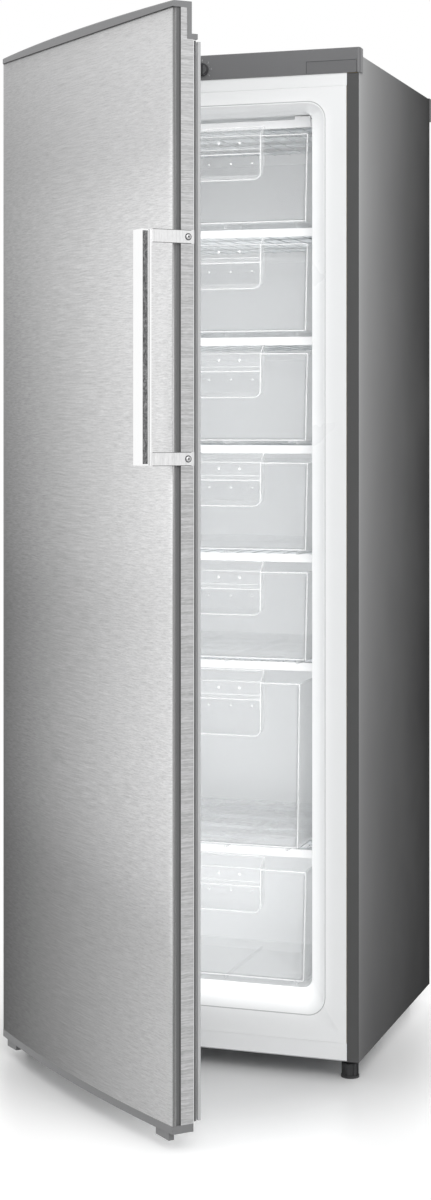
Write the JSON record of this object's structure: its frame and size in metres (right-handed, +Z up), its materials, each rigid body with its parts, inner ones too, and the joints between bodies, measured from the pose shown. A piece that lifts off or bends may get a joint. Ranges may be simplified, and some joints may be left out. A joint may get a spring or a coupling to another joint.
{
  "type": "upright freezer",
  "caption": "Tall free-standing freezer with a bowed metal door ajar on its left hinges, an upright bar handle and clear pull-out drawers on tube-and-wire freezing shelves.",
  "frame": {"origin": "centre of the footprint on the floor, the open door included", "axes": "+Z is up, -Y is the side that the cabinet front faces, +X is to the right seen from the front"},
  "size_m": [0.6143, 1.045, 1.6912],
  "materials": {
    "cabinet_paint": "satin",
    "foam": "matte",
    "white_plastic": "gloss",
    "white_paint": "satin",
    "zinc_steel": "satin",
    "dark_plastic": "satin",
    "cover_plastic": "satin",
    "thermostat_plastic": "matte",
    "knob_plastic": "satin",
    "evaporator_tube": "satin",
    "clear_plastic": "polished",
    "door_steel": "satin",
    "edge_dark": "satin",
    "side_steel": "satin",
    "gasket_rubber": "matte",
    "handle_chrome": "polished",
    "handle_inlay_dark": "satin",
    "handle_steel": "satin",
    "screw_steel": "satin",
    "hinge_steel": "satin",
    "bush_plastic": "matte",
    "foot_plastic": "matte",
    "roller_plastic": "matte",
    "compressor_paint": "gloss",
    "mount_rubber": "matte",
    "black_plastic": "matte",
    "copper": "satin",
    "condenser_paint": "satin"
  },
  "bodies": {
    "cabinet": {"base_plate": "zinc_steel", "bay_lining": "zinc_steel", "cabinet_foam": "foam", "cable_gland": "black_plastic", "compressor": "compressor_paint", "compressor_mounts": "mount_rubber", "compressor_tray": "zinc_steel", "condenser": "condenser_paint", "condenser_clips": "black_plastic", "control_fascia": "dark_plastic", "evaporator_riser": "evaporator_tube", "evaporator_shelf_1": "evaporator_tube", "evaporator_shelf_2": "evaporator_tube", "evaporator_shelf_3": "evaporator_tube", "evaporator_shelf_4": "evaporator_tube", "evaporator_shelf_5": "evaporator_tube", "evaporator_shelf_6": "evaporator_tube", "evaporator_shelf_7": "evaporator_tube", "fascia_hinge_cover": "cover_plastic", "filter_drier": "copper", "hinge_screws": "screw_steel", "inner_liner": "white_plastic", "lower_front_rail": "white_paint", "lower_hinge": "hinge_steel", "outer_shell": "cabinet_paint", "rear_panel": "zinc_steel", "refrigerant_pipes": "copper", "relay_cover": "black_plastic", "roller_brackets": "zinc_steel", "shelf_trims": "white_plastic", "thermostat": "thermostat_plastic", "upper_front_rail": "white_paint", "upper_hinge": "hinge_steel", "wall_spacers": "black_plastic"},
    "door": {"door_skin": "door_steel", "door_edge_trims": "edge_dark", "door_side_sheets": "side_steel", "door_top_cap": "dark_plastic", "door_bottom_cap": "dark_plastic", "door_foam": "foam", "door_liner": "white_plastic", "door_gasket": "gasket_rubber", "handle_bar": "handle_chrome", "handle_inlay": "handle_inlay_dark", "handle_brackets": "handle_steel", "handle_screws": "screw_steel", "hinge_bushes": "bush_plastic"},
    "knob": {"thermostat_knob": "knob_plastic"},
    "drawer_1": {"drawer_1": "clear_plastic"},
    "drawer_2": {"drawer_2": "clear_plastic"},
    "drawer_3": {"drawer_3": "clear_plastic"},
    "drawer_4": {"drawer_4": "clear_plastic"},
    "drawer_5": {"drawer_5": "clear_plastic"},
    "drawer_6": {"drawer_6": "clear_plastic"},
    "drawer_7": {"drawer_7": "clear_plastic"},
    "foot_left": {"levelling_foot_left": "foot_plastic"},
    "foot_right": {"levelling_foot_right": "foot_plastic"},
    "roller_left": {"roller_left": "roller_plastic"},
    "roller_right": {"roller_right": "roller_plastic"}
  },
  "joints": [
    {"name": "door_hinge", "type": "hinge", "parent": "cabinet", "child": "door", "pos_m": [-0.278, -0.074, 0.8], "axis": [0, 0, -1], "range_deg": [-42.9, 62]},
    {"name": "knob_turn", "type": "hinge", "parent": "cabinet", "child": "knob", "pos_m": [0.034, -0.044, 1.657], "axis": [0, -1, 0], "range_deg": [-145, 145]},
    {"name": "drawer_1_slide", "type": "slide", "parent": "cabinet", "child": "drawer_1", "axis": [0, -1, 0], "range_m": [0, 0.085]},
    {"name": "drawer_2_slide", "type": "slide", "parent": "cabinet", "child": "drawer_2", "axis": [0, -1, 0], "range_m": [0, 0.085]},
    {"name": "drawer_3_slide", "type": "slide", "parent": "cabinet", "child": "drawer_3", "axis": [0, -1, 0], "range_m": [0, 0.085]},
    {"name": "drawer_4_slide", "type": "slide", "parent": "cabinet", "child": "drawer_4", "axis": [0, -1, 0], "range_m": [0, 0.085]},
    {"name": "drawer_5_slide", "type": "slide", "parent": "cabinet", "child": "drawer_5", "axis": [0, -1, 0], "range_m": [0, 0.085]},
    {"name": "drawer_6_slide", "type": "slide", "parent": "cabinet", "child": "drawer_6", "axis": [0, -1, 0], "range_m": [0, 0.085]},
    {"name": "drawer_7_slide", "type": "slide", "parent": "cabinet", "child": "drawer_7", "axis": [0, -1, 0], "range_m": [0, 0.085]},
    {"name": "foot_left_screw", "type": "hinge", "parent": "cabinet", "child": "foot_left", "pos_m": [-0.278, -0.012, 0], "axis": [0, 0, 1], "continuous": true},
    {"name": "foot_right_screw", "type": "hinge", "parent": "cabinet", "child": "foot_right", "pos_m": [0.278, -0.012, 0], "axis": [0, 0, 1], "continuous": true},
    {"name": "roller_left_turn", "type": "hinge", "parent": "cabinet", "child": "roller_left", "pos_m": [-0.26, 0.463, 0.014], "axis": [1, 0, 0], "continuous": true},
    {"name": "roller_right_turn", "type": "hinge", "parent": "cabinet", "child": "roller_right", "pos_m": [0.26, 0.463, 0.014], "axis": [1, 0, 0], "continuous": true}
  ]
}
